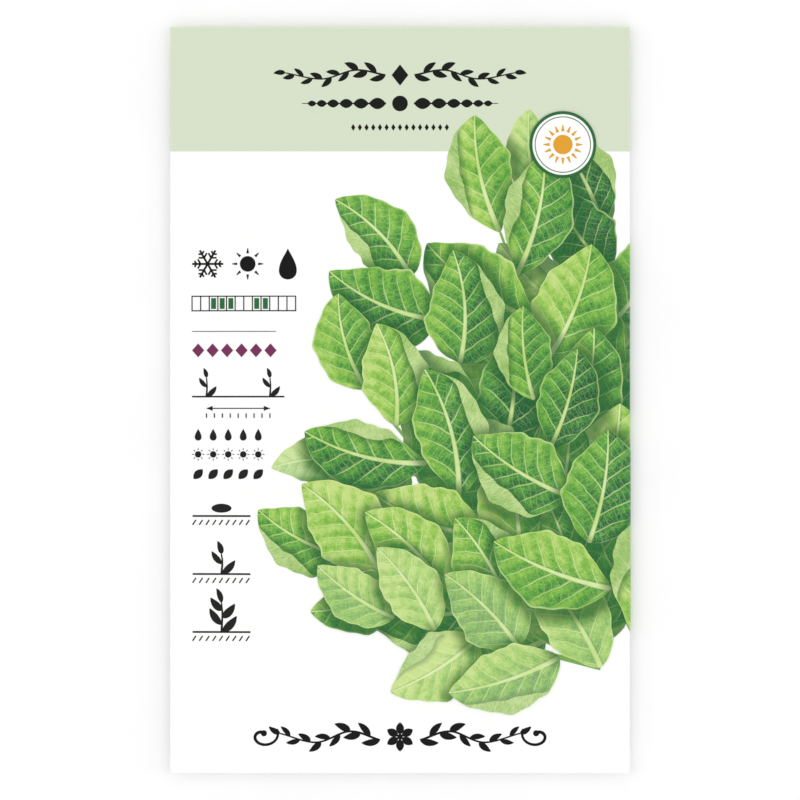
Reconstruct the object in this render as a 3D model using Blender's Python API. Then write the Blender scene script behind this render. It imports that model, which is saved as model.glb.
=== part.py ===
"""A sealed paper seed packet lying on its back, with loose lettuce seeds inside.

Axes: X across the packet, Y up its printed front, Z up from the table. The origin is on the table under the
middle of the packet. One die-cut sheet makes the whole envelope: the front panel, a back panel folded round the
right edge, a seam flap folded round the left edge and glued inside the back panel, and a flap at each end folded
round and glued outside the back panel.
"""
import math
import random

import bmesh
import bpy
from mathutils import Euler, Matrix, Vector

MM = 0.001

# The sheet and the folded packet
PACKET_WIDTH = 82.5 * MM
PACKET_HEIGHT = 134.0 * MM
PAPER = 0.13 * MM
LAYER_PITCH = 0.28 * MM
EDGE_LIFT = 0.90 * MM
FRONT_BULGE = 1.70 * MM
BULGE_SKEW = 1.6

# The flat patch that the packet rests on: the middle of the back panel
REST_HALF_WIDTH = 19.0 * MM
REST_BOTTOM = -38.0 * MM
REST_TOP = 32.0 * MM

# Flaps, measured on the flat sheet
CORNER_NOTCH = 0.6 * MM
TOP_FLAP = 20.0 * MM
BOTTOM_FLAP = 16.0 * MM
FLAP_TAPER = 0.20
FLAP_CORNER = 5.0 * MM
SEAM_FLAP = 11.0 * MM
SEAM_TAPER = 0.045
BACK_EDGE_INSET = 0.80 * MM

# Glue
GLUE = 0.07 * MM
SEAM_GLUE_START = 2.0 * MM
SEAM_GLUE_WIDTH = 7.0 * MM
END_GLUE_WIDTH = 6.0 * MM
END_GLUE_FROM_TIP = 2.0 * MM
GLUE_MARGIN = 6.0 * MM

# Seeds: lettuce achenes in a shallow heap
SEED_LENGTH = 3.9 * MM
SEED_WIDTH = 1.15 * MM
SEED_THICK = 0.62 * MM
SEED_COUNT = 150
SEED_SIDES = 6
HEAP_RADIUS_X = 21.0 * MM
HEAP_RADIUS_Y = 24.0 * MM
HEAP_CENTRE_Y = -20.0 * MM
HEAP_CORE = 0.80 * MM
HEAP_REACH = 0.90
HEAP_FLOOR_GAP = 0.36 * MM
HEAP_SIDES = 28
RANDOM_SEED = 7

# Mesh density
COLUMNS = 16
ROWS = 26
FOLD_STEPS = 4

# Worked out from the sizes above
LEFT_RADIUS = LAYER_PITCH / 2
RIGHT_RADIUS = LAYER_PITCH
END_RADIUS = 1.5 * LAYER_PITCH
LEFT_FOLD_X = -PACKET_WIDTH / 2 + LEFT_RADIUS + PAPER / 2
RIGHT_FOLD_X = PACKET_WIDTH / 2 - RIGHT_RADIUS - PAPER / 2
END_FOLD_Y = PACKET_HEIGHT / 2 - END_RADIUS - PAPER / 2
SIDE_FOLD_HALF = PACKET_HEIGHT / 2 - CORNER_NOTCH
FLAP_HALF = PACKET_WIDTH / 2 - CORNER_NOTCH
BACK_FREE_X = -PACKET_WIDTH / 2 + BACK_EDGE_INSET
BACK_AT_EDGE = EDGE_LIFT + PAPER / 2
FRONT_AT_EDGE = BACK_AT_EDGE + 2 * LAYER_PITCH


def smooth(t):
    """Smoothstep of t, held between 0 and 1."""
    t = min(max(t, 0.0), 1.0)
    return t * t * (3.0 - 2.0 * t)


def back_height(x, y):
    """Middle of the back panel's paper: flat on the table in its middle, lifted at the packet's edges."""
    across = smooth((RIGHT_FOLD_X - abs(x)) / (RIGHT_FOLD_X - REST_HALF_WIDTH))
    rest_end = REST_TOP if y > 0 else -REST_BOTTOM
    along = smooth((SIDE_FOLD_HALF - abs(y)) / (SIDE_FOLD_HALF - rest_end))
    return PAPER / 2 + EDGE_LIFT * (1.0 - across * along)


def front_height(x, y):
    """Middle of the front panel's paper: a low pillow, fullest below the middle, where the seeds lie."""
    across = max(0.0, 1.0 - (x / RIGHT_FOLD_X) ** 2)
    up = min(max((y + END_FOLD_Y) / (2 * END_FOLD_Y), 0.0), 1.0)
    peak = 1.0 / (1.0 + BULGE_SKEW)
    along = up * (1.0 - up) ** BULGE_SKEW / (peak * (1.0 - peak) ** BULGE_SKEW)
    return FRONT_AT_EDGE + FRONT_BULGE * across * along


def spaced(start, end, steps):
    return [start + (end - start) * i / steps for i in range(steps + 1)]


def add_patch(bm, rows):
    """Adds a grid of four-sided faces through rows of points."""
    grid = [[bm.verts.new(point) for point in row] for row in rows]
    for lower, upper in zip(grid, grid[1:]):
        for i in range(len(lower) - 1):
            bm.faces.new((lower[i], lower[i + 1], upper[i + 1], upper[i]))


def side_fold(x_centre, radius, outward, ys):
    """Rows of points round a vertical fold, from the front panel down to the layer under it."""
    rows = []
    for angle in spaced(0.0, math.pi, FOLD_STEPS):
        x = x_centre + outward * radius * math.sin(angle)
        z = FRONT_AT_EDGE - radius + radius * math.cos(angle)
        rows.append([Vector((x, y, z)) for y in ys])
    return rows


def end_fold(outward, xs):
    """Rows of points round the fold at the top (outward 1) or the bottom (outward -1)."""
    rows = []
    for angle in spaced(0.0, math.pi, FOLD_STEPS):
        y = outward * (END_FOLD_Y + END_RADIUS * math.sin(angle))
        z = FRONT_AT_EDGE - END_RADIUS + END_RADIUS * math.cos(angle)
        rows.append([Vector((x, y, z)) for x in xs])
    return rows


def flap_half_width(depth, length):
    """Half the width of an end flap at this depth from its fold: tapered, with round corners."""
    half = FLAP_HALF - FLAP_TAPER * depth
    into_corner = depth - (length - FLAP_CORNER)
    if into_corner > 0:
        half -= FLAP_CORNER - math.sqrt(max(FLAP_CORNER**2 - into_corner**2, 0.0))
    return half


def flap_depths(length):
    """Depths of an end flap's rows, closer together round its corners."""
    straight = spaced(0.0, length - FLAP_CORNER, 3)
    round_part = [
        length - FLAP_CORNER + FLAP_CORNER * math.sin(angle)
        for angle in spaced(0.0, math.pi / 2, 4)
    ]
    return straight + round_part[1:]


def end_flap(outward, length, xs):
    """Rows of points of an end flap, one layer outside the back panel."""
    rows = []
    for depth in flap_depths(length):
        y = outward * (END_FOLD_Y - depth)
        scale = flap_half_width(depth, length) / FLAP_HALF
        rows.append([Vector((x * scale, y, back_height(x * scale, y) - LAYER_PITCH)) for x in xs])
    return rows


def seam_flap(ys):
    """Rows of points of the seam flap, one layer inside the back panel, narrower at its free edge."""
    rows = []
    for depth in spaced(0.0, SEAM_FLAP, 3):
        x = LEFT_FOLD_X + depth
        shrink = 1.0 - SEAM_TAPER * depth / SEAM_FLAP
        rows.append([Vector((x, y * shrink, back_height(x, y * shrink) + LAYER_PITCH)) for y in ys])
    return rows


def new_material(name, colour, roughness):
    material = bpy.data.materials.new(name)
    material.use_nodes = True
    shader = material.node_tree.nodes["Principled BSDF"]
    shader.inputs["Base Color"].default_value = (*colour, 1.0)
    shader.inputs["Roughness"].default_value = roughness
    shader.inputs["Metallic"].default_value = 0.0
    return material


def new_object(name, bm, material):
    mesh = bpy.data.meshes.new(name)
    bm.to_mesh(mesh)
    bm.free()
    mesh.shade_smooth()
    mesh.set_sharp_from_angle(angle=math.radians(35))
    mesh.materials.append(material)
    obj = bpy.data.objects.new(name, mesh)
    bpy.context.scene.collection.objects.link(obj)
    return obj


def thicken(obj, thickness):
    """Gives a sheet of no thickness its real one, half to each side."""
    modifier = obj.modifiers.new("paper thickness", "SOLIDIFY")
    modifier.thickness = thickness
    modifier.offset = 0.0


def make_packet(material):
    """The folded envelope: one sheet of paper."""
    side_ys = spaced(-SIDE_FOLD_HALF, SIDE_FOLD_HALF, ROWS)
    front_ys = [-END_FOLD_Y, *side_ys, END_FOLD_Y]
    flap_xs = spaced(-FLAP_HALF, FLAP_HALF, COLUMNS)
    front_xs = [LEFT_FOLD_X, *flap_xs, RIGHT_FOLD_X]
    back_xs = [BACK_FREE_X, *flap_xs[1:], RIGHT_FOLD_X]
    bm = bmesh.new()
    add_patch(bm, [[Vector((x, y, front_height(x, y))) for x in front_xs] for y in front_ys])
    add_patch(bm, [[Vector((x, y, back_height(x, y))) for x in back_xs] for y in side_ys])
    add_patch(bm, side_fold(RIGHT_FOLD_X, RIGHT_RADIUS, 1, side_ys))
    add_patch(bm, side_fold(LEFT_FOLD_X, LEFT_RADIUS, -1, side_ys))
    add_patch(bm, seam_flap(side_ys))
    for outward, length in ((1, TOP_FLAP), (-1, BOTTOM_FLAP)):
        add_patch(bm, end_fold(outward, flap_xs))
        add_patch(bm, end_flap(outward, length, flap_xs))
    bmesh.ops.remove_doubles(bm, verts=bm.verts, dist=0.002 * MM)
    bmesh.ops.recalc_face_normals(bm, faces=bm.faces)
    thicken(new_object("packet_paper", bm, material), PAPER)


def make_glue(name, material, xs, ys, side):
    """A thin strip of glue against the back panel: inside it for side 1, outside it for side -1."""
    bm = bmesh.new()
    add_patch(bm, [[Vector((x, y, back_height(x, y) + side * LAYER_PITCH / 2)) for x in xs] for y in ys])
    thicken(new_object(name, bm, material), GLUE)


def make_all_glue(material):
    seam_x = -PACKET_WIDTH / 2 + SEAM_GLUE_START
    seam_y = SIDE_FOLD_HALF * (1.0 - SEAM_TAPER) - GLUE_MARGIN
    make_glue("glue_side_seam", material, spaced(seam_x, seam_x + SEAM_GLUE_WIDTH, 2),
              spaced(-seam_y, seam_y, ROWS), 1)
    for name, outward, length in (("glue_top_flap", 1, TOP_FLAP), ("glue_bottom_flap", -1, BOTTOM_FLAP)):
        tip_y = END_FOLD_Y - length + END_GLUE_FROM_TIP
        half = flap_half_width(length - END_GLUE_FROM_TIP, length) - GLUE_MARGIN / 2
        strip = [outward * y for y in spaced(tip_y, tip_y + END_GLUE_WIDTH, 2)]
        make_glue(name, material, spaced(-half, half, COLUMNS), strip, -1)


def seed_mesh():
    """One lettuce seed along X: a flattened spindle, widest past its middle, with two blunt ends."""
    stations = ((-0.5, 0.22), (-0.16, 0.78), (0.2, 1.0), (0.5, 0.34))
    bm = bmesh.new()
    for along, girth in stations:
        for k in range(SEED_SIDES):
            angle = 2 * math.pi * (k + 0.5) / SEED_SIDES
            y = SEED_WIDTH / 2 * girth * math.cos(angle)
            z = SEED_THICK / 2 * girth * math.sin(angle)
            bm.verts.new((SEED_LENGTH * along, y, z))
    bmesh.ops.convex_hull(bm, input=bm.verts)
    mesh = bpy.data.meshes.new("seed")
    bm.to_mesh(mesh)
    bm.free()
    return mesh


def heap_core(material, base_z):
    """The packed middle of the heap, which the outer seeds stand out of."""
    bm = bmesh.new()
    levels = ((0.0, 0.80), (0.5, 0.93), (1.0, 0.72))
    for level, spread in levels:
        for k in range(HEAP_SIDES):
            angle = 2 * math.pi * k / HEAP_SIDES
            x = HEAP_RADIUS_X * spread * math.cos(angle)
            y = HEAP_CENTRE_Y + HEAP_RADIUS_Y * spread * math.sin(angle)
            bm.verts.new((x, y, base_z + HEAP_CORE * level))
    bmesh.ops.convex_hull(bm, input=bm.verts)
    return new_object("lettuce_seeds", bm, material)


def seed_places(base_z):
    """Where each seed lies: a golden-angle spiral over the heap, in turn on its upper and its lower side."""
    draw = random.Random(RANDOM_SEED)
    golden = math.pi * (3.0 - math.sqrt(5.0))
    for i in range(SEED_COUNT):
        reach = HEAP_REACH * math.sqrt((i + 0.5) / SEED_COUNT)
        x = HEAP_RADIUS_X * reach * math.cos(i * golden)
        y = HEAP_CENTRE_Y + HEAP_RADIUS_Y * reach * math.sin(i * golden)
        upper = i % 2 == 0
        level = HEAP_CORE * (0.97 if upper else 0.12) if reach < 0.7 else HEAP_CORE * 0.5
        turn = Euler((draw.uniform(-0.3, 0.3), draw.uniform(-0.06, 0.06), draw.uniform(0, 2 * math.pi)))
        yield Matrix.Translation((x, y, base_z + level)) @ turn.to_matrix().to_4x4()


def make_seeds(material):
    """The seeds, fused where they touch into one heap."""
    base_z = PAPER + HEAP_FLOOR_GAP
    core = heap_core(material, base_z)
    loose = bpy.data.collections.new("loose seeds")
    bpy.context.scene.collection.children.link(loose)
    shared = seed_mesh()
    for i, place in enumerate(seed_places(base_z)):
        seed = bpy.data.objects.new(f"seed_{i}", shared)
        seed.matrix_world = place
        loose.objects.link(seed)
    union = core.modifiers.new("fuse seeds", "BOOLEAN")
    union.operation = "UNION"
    union.operand_type = "COLLECTION"
    union.collection = loose
    union.solver = "EXACT"
    bpy.context.view_layer.update()
    fused = bpy.data.meshes.new_from_object(core.evaluated_get(bpy.context.evaluated_depsgraph_get()))
    core.modifiers.clear()
    core.data = fused
    for seed in list(loose.objects):
        bpy.data.objects.remove(seed)
    bpy.data.collections.remove(loose)


def main():
    for obj in list(bpy.data.objects):
        bpy.data.objects.remove(obj)
    paper = new_material("coated_paper", (0.93, 0.93, 0.91), 0.42)
    glue = new_material("dried_glue", (0.80, 0.76, 0.62), 0.30)
    seeds = new_material("seed_husk", (0.60, 0.52, 0.38), 0.70)
    make_packet(paper)
    make_all_glue(glue)
    make_seeds(seeds)


main()
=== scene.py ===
"""Looks of a sealed paper seed packet: the folded sheet, the inks printed on it, its glue and its seeds.

What is printed is drawn flat first, in millimetres, as on the printer's sheet. film() then folds the drawing
round the packet and gives it the thickness of a skin of ink. Everything that is finished is in metres.
"""
import math

import bmesh
import bpy
import numpy as np
from mathutils import Matrix, Vector
from mathutils.geometry import delaunay_2d_cdt


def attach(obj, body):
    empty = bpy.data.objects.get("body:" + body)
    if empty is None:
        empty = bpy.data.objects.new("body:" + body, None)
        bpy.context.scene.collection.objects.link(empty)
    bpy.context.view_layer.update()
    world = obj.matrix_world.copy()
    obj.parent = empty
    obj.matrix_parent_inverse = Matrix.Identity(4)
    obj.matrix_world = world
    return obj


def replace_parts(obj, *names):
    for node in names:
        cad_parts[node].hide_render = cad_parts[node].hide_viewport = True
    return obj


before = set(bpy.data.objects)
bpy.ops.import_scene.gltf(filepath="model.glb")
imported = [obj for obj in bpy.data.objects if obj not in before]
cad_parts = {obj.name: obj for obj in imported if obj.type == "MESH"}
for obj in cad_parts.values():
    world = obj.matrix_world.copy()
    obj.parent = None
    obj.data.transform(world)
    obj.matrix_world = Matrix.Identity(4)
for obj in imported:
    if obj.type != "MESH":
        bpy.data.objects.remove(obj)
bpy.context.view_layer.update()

MM = 0.001

# The folded packet, as the part file has it
PACKET_WIDTH = 82.5 * MM
PACKET_HEIGHT = 134.0 * MM
PAPER = 0.13 * MM
LAYER_PITCH = 0.28 * MM
EDGE_LIFT = 0.90 * MM
FRONT_BULGE = 1.70 * MM
BULGE_SKEW = 1.6
REST_HALF_WIDTH = 19.0 * MM
REST_BOTTOM = -38.0 * MM
REST_TOP = 32.0 * MM
CORNER_NOTCH = 0.6 * MM
TOP_FLAP = 20.0 * MM
BOTTOM_FLAP = 16.0 * MM
FLAP_TAPER = 0.20
FLAP_CORNER = 5.0 * MM
SEAM_FLAP = 11.0 * MM
SEAM_TAPER = 0.045
BACK_EDGE_INSET = 0.80 * MM

LEFT_RADIUS = LAYER_PITCH / 2
RIGHT_RADIUS = LAYER_PITCH
END_RADIUS = 1.5 * LAYER_PITCH
LEFT_FOLD_X = -PACKET_WIDTH / 2 + LEFT_RADIUS + PAPER / 2
RIGHT_FOLD_X = PACKET_WIDTH / 2 - RIGHT_RADIUS - PAPER / 2
END_FOLD_Y = PACKET_HEIGHT / 2 - END_RADIUS - PAPER / 2
SIDE_FOLD_HALF = PACKET_HEIGHT / 2 - CORNER_NOTCH
FLAP_HALF = PACKET_WIDTH / 2 - CORNER_NOTCH
BACK_FREE_X = -PACKET_WIDTH / 2 + BACK_EDGE_INSET
FRONT_AT_EDGE = EDGE_LIFT + PAPER / 2 + 2 * LAYER_PITCH

# Fine shape of the paper: its folds reach closer to the packet's corners than the solids' do
SIDE_END = END_FOLD_Y - 0.05 * MM
CORNER_HALF = PACKET_WIDTH / 2 - 0.02 * MM
CELL = 1.1 * MM
FOLD_STEPS = 8
WELD = 0.002 * MM
SHARP_ANGLE = math.radians(35)
SLOW_RELIEF = 0.16 * MM
QUICK_RELIEF = 0.022 * MM
RELIEF_MARGIN = 12.0 * MM
BACK_CLEARANCE = 0.05 * MM

# Skins of ink
INK_LIFT = 0.020 * MM
INK_SINK = 0.020 * MM
INK_LEVEL = 0.006 * MM
INK_CELL = 2.0
EDGE_BLEED = 1.0

# Finishes. Each ink: its colour and how unevenly it is laid.
PAPER_GLOSS = 0.28
PAPER_ROUGHNESS = 0.55
INK_GLOSS = 0.2
INK_ROUGHNESS = 0.56
INKS = {
    "header": ((210, 220, 196), 0.10), "title": ((10, 14, 8), 0.15), "black": ((5, 5, 5), 0.15),
    "dark": ((24, 24, 23), 0.15), "purple": ((116, 46, 86), 0.30), "badge green": ((40, 104, 56), 0.30),
    "ochre": ((222, 158, 44), 0.25), "white": ((249, 249, 246), 0.02), "stem": ((120, 168, 84), 0.25),
}
LEAF_GREENS = ((0.0, (26, 92, 54)), (0.26, (56, 130, 56)), (0.5, (94, 162, 60)), (0.74, (143, 192, 78)),
               (1.0, (192, 216, 126)))

# Leaves of the picture. Each spray: its stem from base to tip, its leaves, their length, their width as a
# part of that, their fullness near the base (low) or near the tip (high), their bend and how light (high) or
# dark (below 0) they are printed.
SPRAYS = (
    (((34, -44), (22, -26), (4, -14), (-7, -11)), 7, 25.0, 0.62, 0.62, 0.5, 0.80),
    (((36, -20), (34, 6), (30, 22), (25, 35)), 6, 25.0, 0.60, 0.85, 0.4, 0.60),
    (((39, -38), (41, -8), (39, 14), (36, 32)), 9, 27.0, 0.70, 0.75, 0.5, -0.50),
    (((34, -42), (30, -12), (25, 10), (18, 30)), 10, 29.0, 0.64, 0.95, 0.5, 0.20),
    (((32, -42), (20, -14), (11, 6), (2, 22)), 9, 28.0, 0.68, 0.70, 0.6, -0.45),
    (((31, -45), (14, -22), (2, -8), (-6, 2)), 8, 27.0, 0.62, 0.90, 0.6, 0.0),
    (((32, -46), (12, -36), (-2, -31), (-10, -28)), 8, 26.0, 0.66, 0.80, 0.5, 0.35),
    (((36, -48), (20, -44), (9, -42), (-1, -39)), 6, 22.0, 0.66, 0.75, 0.4, 0.60),
    (((42, -42), (34, -26), (28, -12), (24, 0)), 6, 24.0, 0.70, 0.85, 0.4, -0.20),
)
LEAF_ROWS = 33
LEAF_COLUMNS = 13
MARGIN_WAVE = 0.05
STEM_POINTS = 40
STEM_WIDTH = 1.0
STEM_TIP_WIDTH = 0.45
FIRST_LEAF_LEVEL = 2
SHADE_REACH = 3.2
SHADE_OFFSET = 0.9
LIGHT_SIDE = (-0.6, 0.8)

# What the leaf drawing reads at each point, from attributes of the same names
LEAF_VALUES = ("Along", "Across", "Off Rib", "Tone", "Lit", "Shade", "Pale")

# Places of the other printing, on the front
HEADER_LOW = 44.6
TITLE_Y = 58.3
SUBTITLE_Y = 53.2
CAPTION_Y = 48.9
BADGE_CENTRE = (29.2, 45.8)
BADGE_RADIUS = 6.0
HEADER_LEVEL = 2
COLUMN_X = -37.3
PICTOGRAM_Y = 24.4
CALENDAR_Y = 17.3
RULE_Y = 12.3
ACCENT_Y = 8.9
SPACING_Y = 0.6
CARE_Y = -6.2
LINE_PITCH = 3.55
STAGES_Y = -20.8
STAGE_PITCH = 10.4
FOOT_Y = -60.4
SOWING_MONTHS = (2, 3, 4, 7, 8)
CALENDAR_SIZE = (18.6, 2.6)
RULE_LENGTH = 15.1
RULE_WIDTH = 0.13

# Sizes of the printing on the back
BACK_CALENDAR_SIZE = (60.0, 4.4)
NOTE_LINES = 8
NOTE_LINE_LENGTH = 62.0
NOTE_LINE_WIDTH = 0.15
NOTE_LINE_PITCH = 5.0

# Seeds
SEED_SIDES = 8
SEED_PROFILE = ((-0.5, 0.16), (-0.42, 0.42), (-0.22, 0.76), (0.08, 0.98), (0.28, 0.92), (0.44, 0.55),
                (0.5, 0.26))
SEED_LENGTH = 3.9 * MM
SEED_WIDTH = 1.15 * MM
SEED_THICK = 0.62 * MM
SEED_HEAP = {"Count": 480, "Radius X": 20.0 * MM, "Radius Y": 23.0 * MM, "Centre Y": -20.0 * MM,
             "Low": 0.62 * MM, "High": 1.45 * MM, "Seed": 5}

# Photograph
PHOTO_SIZE = 800
PACKET_WIDTH_IN_PHOTO = 459.7
LENS = 150.0
SENSOR = 36.0
FLOOR_HALF = 2.0
HORIZON_LIGHT = 0.95
ZENITH_LIGHT = 0.625
SOFTBOXES = 4
SOFTBOX_REACH = 0.75
SOFTBOX_HEIGHT = 0.40
SOFTBOX_SIZE = 0.70
SOFTBOX_POWER = 1.98


def srgb(red, green, blue):
    """Linear colour of an sRGB one given as 0 to 255."""
    return (*(((c / 255 + 0.055) / 1.055) ** 2.4 if c > 10 else c / 3295 for c in (red, green, blue)), 1.0)


def spaced(start, end, steps):
    return [start + (end - start) * i / steps for i in range(steps + 1)]


# Shape of the packet

def smooth(t):
    """Smoothstep of t, held between 0 and 1."""
    t = min(max(t, 0.0), 1.0)
    return t * t * (3.0 - 2.0 * t)


def back_height(x, y):
    """Middle of the back panel's paper: flat on the table in its middle, lifted at the packet's edges."""
    across = smooth((RIGHT_FOLD_X - abs(x)) / (RIGHT_FOLD_X - REST_HALF_WIDTH))
    rest_end = REST_TOP if y > 0 else -REST_BOTTOM
    along = smooth((SIDE_FOLD_HALF - abs(y)) / (SIDE_FOLD_HALF - rest_end))
    return PAPER / 2 + EDGE_LIFT * (1.0 - across * along) + BACK_CLEARANCE * across * along


def front_relief(x, y):
    """Slight unevenness of the front panel, which fades out towards the folds."""
    inside = min(RIGHT_FOLD_X - abs(x), END_FOLD_Y - abs(y))
    slow = math.sin(71 * x + 38 * y + 0.6) * math.sin(60 * y - 22 * x + 1.9)
    quick = math.sin(310 * x - 140 * y) * math.sin(260 * y + 90 * x + 0.8)
    return smooth(inside / RELIEF_MARGIN) * (SLOW_RELIEF * slow + QUICK_RELIEF * quick)


def front_height(x, y):
    """Middle of the front panel's paper: a low pillow, fullest below the middle, where the seeds lie."""
    across = max(0.0, 1.0 - (x / RIGHT_FOLD_X) ** 2)
    up = min(max((y + END_FOLD_Y) / (2 * END_FOLD_Y), 0.0), 1.0)
    peak = 1.0 / (1.0 + BULGE_SKEW)
    along = up * (1.0 - up) ** BULGE_SKEW / (peak * (1.0 - peak) ** BULGE_SKEW)
    return FRONT_AT_EDGE + FRONT_BULGE * across * along + front_relief(x, y)


def round_fold(past, radius, skin):
    """How far out and down a fold has come this far past its start, and the length left beyond it."""
    angle = min(past / radius, math.pi)
    reach = radius + skin
    return reach * math.sin(angle), radius - reach * math.cos(angle), past - radius * angle


def on_packet(u, v, lift):
    """Where a place on the flat sheet comes to lie on the folded packet, this high above the printed face."""
    skin = PAPER / 2 + lift
    if abs(v) > END_FOLD_Y:
        out, down, beyond = round_fold(abs(v) - END_FOLD_Y, END_RADIUS, skin)
        y = math.copysign(END_FOLD_Y + out - beyond, v)
        flap = back_height(u, y) - LAYER_PITCH - skin
        return Vector((u, y, flap if beyond > 0 else FRONT_AT_EDGE - down))
    if LEFT_FOLD_X <= u <= RIGHT_FOLD_X:
        return Vector((u, v, front_height(u, v) + skin))
    side, fold_x, radius, inside = ((1, RIGHT_FOLD_X, RIGHT_RADIUS, 0.0) if u > 0
                                    else (-1, LEFT_FOLD_X, LEFT_RADIUS, LAYER_PITCH))
    out, down, beyond = round_fold((u - fold_x) * side, radius, skin)
    x = fold_x + side * (out - beyond)
    return Vector((x, v, back_height(x, v) + inside - skin if beyond > 0 else FRONT_AT_EDGE - down))


def on_back(u, v, lift):
    """The same for a drawing on the back panel, which is read from behind with its left side at +X."""
    return Vector((-u, v, back_height(-u, v) - PAPER / 2 - lift))


def cells(length):
    return max(2, round(abs(length) / CELL))


def fold_places(start, radius, turn=math.pi):
    """Places across the flat sheet at the steps of a side fold. With a radius below 0 they go left."""
    return [start + radius * angle for angle in spaced(0.0, turn, FOLD_STEPS)]


def flap_half_width(depth, length):
    """Half the width of an end flap at this depth from its fold: tapered, with round corners."""
    half = FLAP_HALF - FLAP_TAPER * depth
    into_corner = depth - (length - FLAP_CORNER)
    if into_corner > 0:
        half -= FLAP_CORNER - math.sqrt(max(FLAP_CORNER**2 - into_corner**2, 0.0))
    return half


def flap_depths(length):
    straight = spaced(0.0, length - FLAP_CORNER, cells(length - FLAP_CORNER))
    rounded = [length - FLAP_CORNER + FLAP_CORNER * math.sin(a) for a in spaced(0.0, math.pi / 2, 10)]
    return straight + rounded[1:]


def end_flap_rows(outward, length, us):
    """Rows of the flat sheet from a fold line, as wide as the packet, to the tip of an end flap."""
    lengths = []
    for angle in spaced(0.0, math.pi, FOLD_STEPS):
        narrowing = smooth(2.0 * angle / math.pi - 1.0)
        lengths.append((END_RADIUS * angle, CORNER_HALF + (FLAP_HALF - CORNER_HALF) * narrowing))
    for depth in flap_depths(length)[1:]:
        lengths.append((END_RADIUS * math.pi + depth, flap_half_width(depth, length)))
    return [[Vector((u * half / CORNER_HALF, outward * (END_FOLD_Y + past), 0.0)) for u in us]
            for past, half in lengths]


# Meshes and objects

def new_object(name, data):
    thing = bpy.data.objects.new(name, data)
    bpy.context.scene.collection.objects.link(thing)
    return thing


def new_mesh(bm, name):
    """The mesh of what was built in bm, which is used up."""
    mesh = bpy.data.meshes.new(name)
    bm.to_mesh(mesh)
    bm.free()
    return mesh


def add_piece(name, mesh, material):
    """A finished piece of the object, riding on its one body."""
    mesh.materials.clear()
    mesh.materials.append(material)
    mesh.shade_smooth()
    mesh.set_sharp_from_angle(angle=SHARP_ANGLE)
    piece = new_object(name, mesh)
    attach(piece, "root")
    return piece


def add_patch(bm, rows):
    """Adds a grid of four-sided faces through rows of points."""
    grid = [[bm.verts.new(point) for point in row] for row in rows]
    for lower, upper in zip(grid, grid[1:]):
        for i in range(len(lower) - 1):
            bm.faces.new((lower[i], lower[i + 1], upper[i + 1], upper[i]))


def flat_rows(us, vs):
    return [[Vector((u, v, 0.0)) for u in us] for v in vs]


def make_envelope(material):
    """The one die-cut sheet, drawn flat and folded."""
    side_vs = spaced(-SIDE_END, SIDE_END, cells(2 * SIDE_END))
    flap_us = spaced(-FLAP_HALF, FLAP_HALF, cells(2 * FLAP_HALF))
    end_us = [-CORNER_HALF, LEFT_FOLD_X, *flap_us, RIGHT_FOLD_X, CORNER_HALF]
    right_fold = fold_places(RIGHT_FOLD_X, RIGHT_RADIUS)
    left_fold = fold_places(LEFT_FOLD_X, -LEFT_RADIUS)
    back_us = [right_fold[-1] + RIGHT_FOLD_X - x for x in (RIGHT_FOLD_X, *flap_us[:0:-1], BACK_FREE_X)]
    bm = bmesh.new()
    add_patch(bm, flat_rows([LEFT_FOLD_X, *flap_us, RIGHT_FOLD_X], [-END_FOLD_Y, *side_vs, END_FOLD_Y]))
    add_patch(bm, flat_rows([*right_fold, *back_us[1:]], side_vs))
    add_patch(bm, flat_rows(left_fold, side_vs))
    seam_rows = []
    for depth in spaced(0.0, SEAM_FLAP, cells(SEAM_FLAP)):
        shrink = 1.0 - SEAM_TAPER * depth / SEAM_FLAP
        seam_rows.append([Vector((left_fold[-1] - depth, v * shrink, 0.0)) for v in side_vs])
    add_patch(bm, seam_rows)
    add_patch(bm, end_flap_rows(1, TOP_FLAP, end_us))
    add_patch(bm, end_flap_rows(-1, BOTTOM_FLAP, end_us))
    bmesh.ops.remove_doubles(bm, verts=bm.verts, dist=WELD)
    for vert in bm.verts:
        vert.co = on_packet(vert.co.x, vert.co.y, -PAPER / 2)
    bmesh.ops.recalc_face_normals(bm, faces=bm.faces)
    envelope = add_piece("packet_envelope", new_mesh(bm, "packet_envelope"), material)
    thickness = envelope.modifiers.new("paper thickness", "SOLIDIFY")
    thickness.thickness = PAPER
    thickness.offset = 0.0
    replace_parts(envelope, "packet_paper")


# Flat drawings, in millimetres

def smooth_path(points, count):
    """A smooth curve of this many points through a few given ones."""
    ends = [2 * Vector(points[0]) - Vector(points[1]), 2 * Vector(points[-1]) - Vector(points[-2])]
    guide = [ends[0], *map(Vector, points), ends[1]]
    path = []
    for at in spaced(0.0, len(points) - 1.0, count - 1):
        i = min(int(at), len(points) - 2)
        t = at - i
        a, b, c, d = guide[i:i + 4]
        bend = 2 * a - 5 * b + 4 * c - d
        path.append(0.5 * (2 * b + (c - a) * t + bend * t**2 + (3 * b - a - 3 * c + d) * t**3))
    return path


def add_ribbon(bm, path, width, end_width=None):
    """A flat line along a path, tapering from one width to the other."""
    end_width = width if end_width is None else end_width
    rows = []
    for i, point in enumerate(path):
        ahead = path[min(i + 1, len(path) - 1)] - path[max(i - 1, 0)]
        side = Vector((-ahead.y, ahead.x)).normalized()
        half = (width + (end_width - width) * i / (len(path) - 1)) / 2
        rows.append([bm.verts.new((*(point + side * half * sign), 0.0)) for sign in (1, -1)])
    for lower, upper in zip(rows, rows[1:]):
        bm.faces.new((lower[0], lower[1], upper[1], upper[0]))


def add_line(bm, start, end, width, end_width=None):
    add_ribbon(bm, [Vector(start), (Vector(start) + Vector(end)) / 2, Vector(end)], width, end_width)


def line_drawing(start, end, width, end_width=None):
    bm = bmesh.new()
    add_line(bm, start, end, width, end_width)
    return bm


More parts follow.
